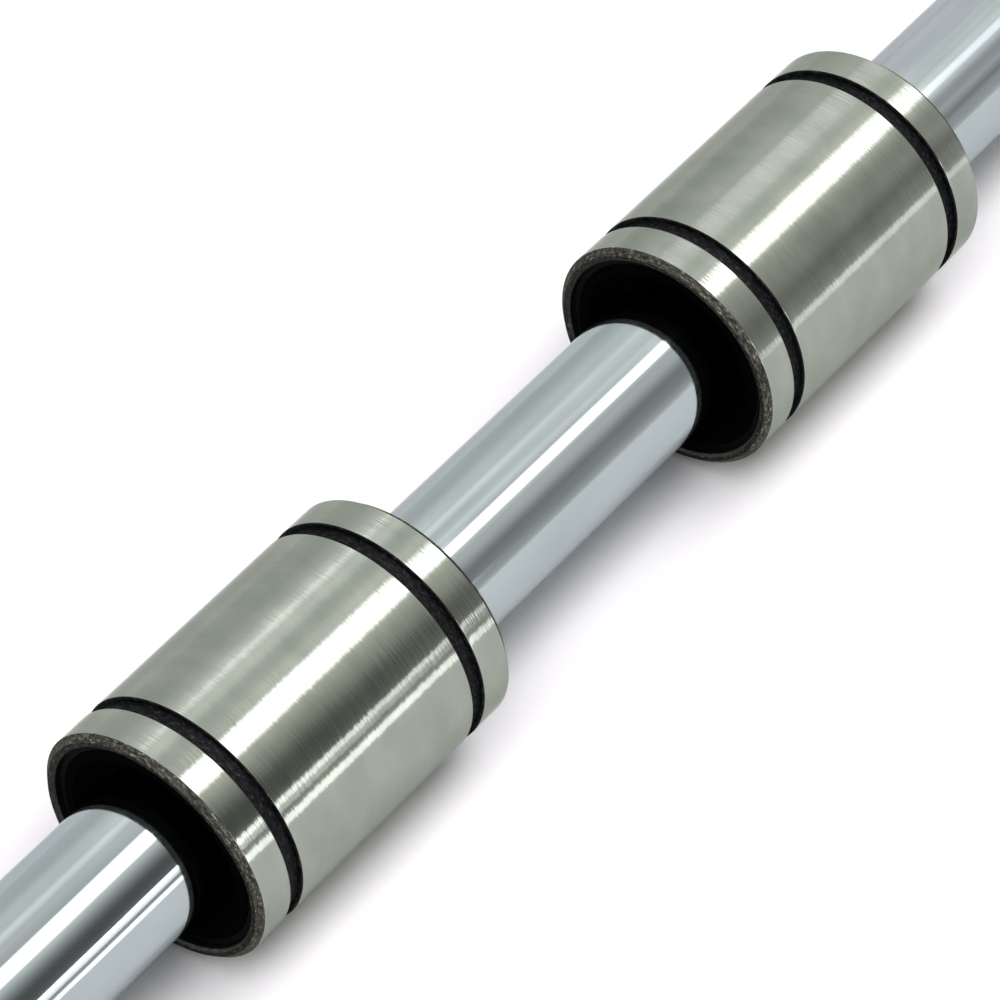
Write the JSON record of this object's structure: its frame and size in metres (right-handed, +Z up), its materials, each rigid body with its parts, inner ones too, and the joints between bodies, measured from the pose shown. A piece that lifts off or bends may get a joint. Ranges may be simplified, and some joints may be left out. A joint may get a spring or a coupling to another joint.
{
  "type": "linear shaft with bearings",
  "caption": "Straight round steel shaft carrying sealed recirculating-ball linear bushings with grooved ground sleeves that slide along it.",
  "frame": {"origin": "on the shaft's axis at the middle of its length, midway between the two bushings as they lie", "axes": "+X along the shaft, towards the right-hand bushing; +Z up, with the sleeves resting on a surface at Z -10.5 mm"},
  "size_m": [0.3, 0.021, 0.021],
  "materials": {
    "hardened_shaft_steel": "hardened, ground and chrome-plated, mirror bright with faint lengthwise marks",
    "ground_bearing_steel": "fine ground bearing steel, satin with round grinding marks; rough dark chamfers and grooves",
    "cage_resin": "moulded off-white resin",
    "ball_steel": "lapped bearing balls",
    "seal_rubber": "black nitrile rubber",
    "dark_spring_steel": "blackened spring steel"
  },
  "bodies": {
    "shaft": {"shaft": "hardened_shaft_steel"},
    "left_seals": {"left_outboard_seal": "seal_rubber", "left_inboard_seal": "seal_rubber"},
    "left_bushing": {"left_sleeve": "ground_bearing_steel", "left_cage": "cage_resin", "left_ball_row_1": "ball_steel", "left_ball_row_2": "ball_steel", "left_ball_row_3": "ball_steel", "left_ball_row_4": "ball_steel", "left_outboard_split_ring": "dark_spring_steel", "left_inboard_split_ring": "dark_spring_steel"},
    "right_seals": {"right_outboard_seal": "seal_rubber", "right_inboard_seal": "seal_rubber"},
    "right_bushing": {"right_sleeve": "ground_bearing_steel", "right_cage": "cage_resin", "right_ball_row_1": "ball_steel", "right_ball_row_2": "ball_steel", "right_ball_row_3": "ball_steel", "right_ball_row_4": "ball_steel", "right_outboard_split_ring": "dark_spring_steel", "right_inboard_split_ring": "dark_spring_steel"}
  },
  "joints": [
    {"name": "left_bushing_slide", "type": "slide", "parent": "shaft", "child": "left_seals", "axis": [1, 0, 0], "range_m": [-0.1, 0.016]},
    {"name": "left_bushing_turn", "type": "hinge", "parent": "left_seals", "child": "left_bushing", "pos_m": [-0.0317, 0, 0], "axis": [1, 0, 0], "continuous": true},
    {"name": "right_bushing_slide", "type": "slide", "parent": "shaft", "child": "right_seals", "axis": [1, 0, 0], "range_m": [-0.016, 0.1]},
    {"name": "right_bushing_turn", "type": "hinge", "parent": "right_seals", "child": "right_bushing", "pos_m": [0.0317, 0, 0], "axis": [1, 0, 0], "continuous": true}
  ]
}
